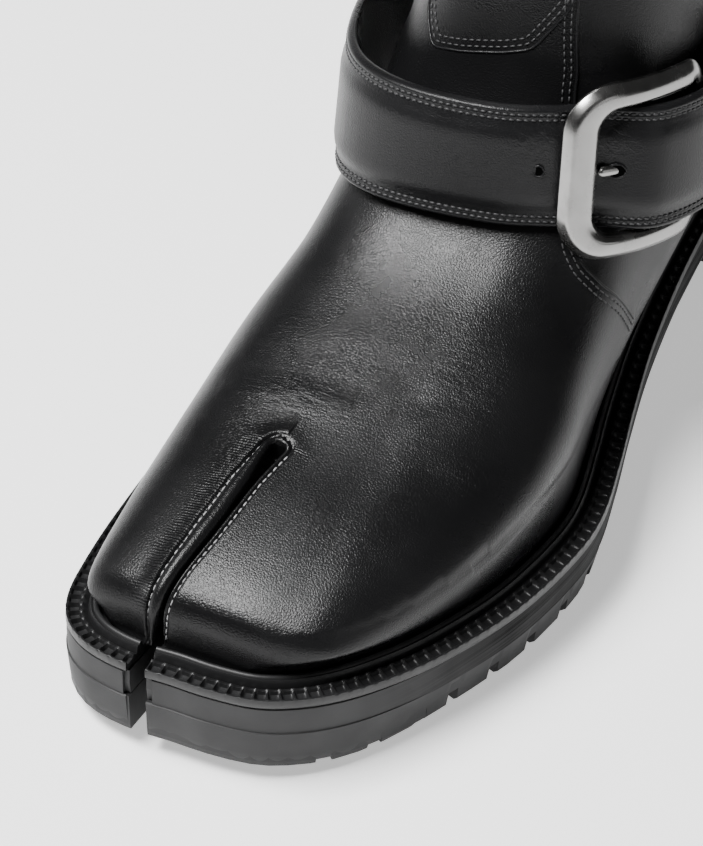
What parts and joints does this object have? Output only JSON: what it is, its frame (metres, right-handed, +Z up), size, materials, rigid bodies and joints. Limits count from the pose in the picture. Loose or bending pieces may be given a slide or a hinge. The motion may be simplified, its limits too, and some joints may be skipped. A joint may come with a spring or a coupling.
{
  "type": "split-toe buckle boot",
  "caption": "Left split-toe ankle boot in black leather, with a wide buckled instep strap, a ribbed storm welt and a chunky lugged rubber sole.",
  "frame": {"origin": "on the floor, under the middle of the boot's box", "axes": "-Y towards the toe, +X towards the wearer's outer side, +Z up"},
  "size_m": [0.1122, 0.304, 0.232],
  "materials": {
    "black_leather": "smooth satin",
    "black_rubber": "matte",
    "welt_rubber": "semi-matte",
    "brushed_steel": "polished, slightly soft",
    "lining_leather": "matte"
  },
  "bodies": {
    "root": {"upper": "black_leather", "strap": "black_leather", "strap_anchor": "black_leather", "keeper": "black_leather", "buckle_frame": "brushed_steel", "buckle_prong": "brushed_steel", "welt": "welt_rubber", "midsole": "black_rubber", "outsole": "black_rubber", "heel": "black_rubber", "insole": "lining_leather"}
  },
  "joints": []
}
